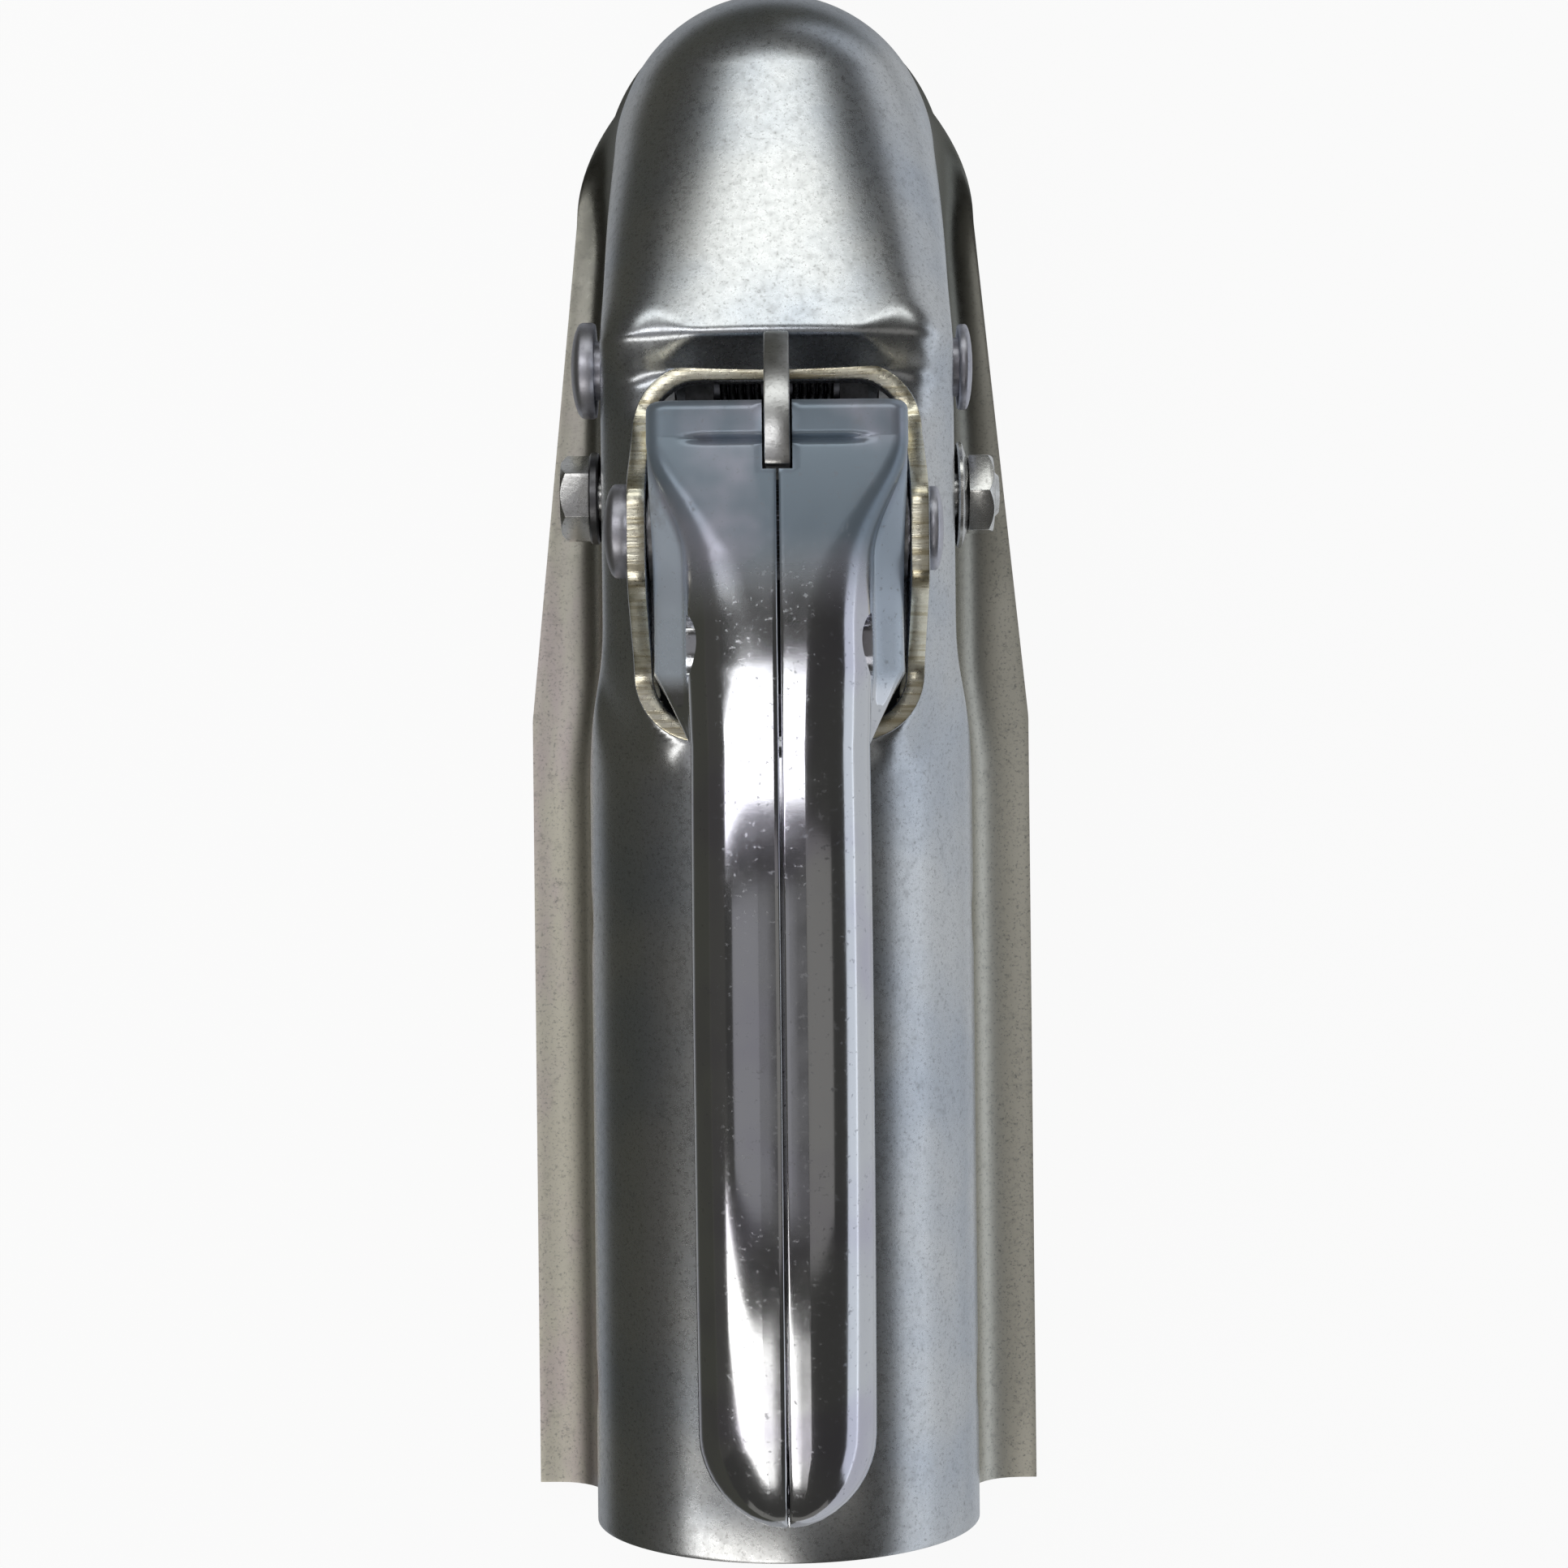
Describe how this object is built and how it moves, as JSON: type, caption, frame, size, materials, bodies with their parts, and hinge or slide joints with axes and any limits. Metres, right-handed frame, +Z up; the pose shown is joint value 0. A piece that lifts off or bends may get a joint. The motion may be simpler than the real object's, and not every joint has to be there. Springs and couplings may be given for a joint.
{
  "type": "trailer coupling head",
  "caption": "Pressed-steel trailer coupling head for a tow ball, with a round drawbar channel, spread flange, sprung jaw and a bowed lift handle.",
  "frame": {"origin": "centre of the tow ball that the head holds", "axes": "+Y forward in the direction of travel, from the drawbar to the dome; +X to the right side; +Z up, away from the open underside"},
  "size_m": [0.0908, 0.27, 0.1],
  "materials": {
    "housing_zinc": "satin zinc plate with a fine speckle, golden cut edges",
    "handle_zinc": "bright zinc plate, glossy on the grip, fine scratches",
    "rivet_zinc": "bright zinc plate with a lavender tint",
    "bolt_zinc": "bright zinc plate",
    "dark_washer": "dark oiled steel",
    "spring_steel": "black oiled spring wire",
    "arm_plate": "zinc plated plate, worn",
    "forged_steel": "dark greased forging"
  },
  "bodies": {
    "housing_body": {"housing": "housing_zinc", "handle_rivet": "rivet_zinc", "jaw_rivet": "rivet_zinc", "jaw_spacer_left": "arm_plate", "jaw_spacer_right": "arm_plate", "jaw_spring_left": "spring_steel", "jaw_spring_right": "spring_steel", "stop_sleeve": "arm_plate", "stop_bolt": "bolt_zinc", "stop_nut": "bolt_zinc", "stop_washer": "dark_washer", "nut_washer": "bolt_zinc"},
    "handle_body": {"handle": "handle_zinc", "handle_cam": "forged_steel"},
    "jaw_body": {"ball_jaw": "forged_steel", "jaw_arm": "arm_plate"}
  },
  "joints": [
    {"name": "handle_lift", "type": "hinge", "parent": "housing_body", "child": "handle_body", "pos_m": [0, -0.0713, 0.054], "axis": [-1, 0, 0], "range_deg": [0, 60], "stiffness_Nm_per_rad": 0.6, "springref_deg": -20.05},
    {"name": "jaw_swing", "type": "hinge", "parent": "housing_body", "child": "jaw_body", "pos_m": [0, -0.0407, 0.02], "axis": [-1, 0, 0], "range_deg": [0, 18], "deforming": ["jaw_spring_left", "jaw_spring_right"]}
  ],
  "couplings": [
    {"joint": "jaw_swing", "follows": "handle_lift", "ratio": 0.3}
  ]
}
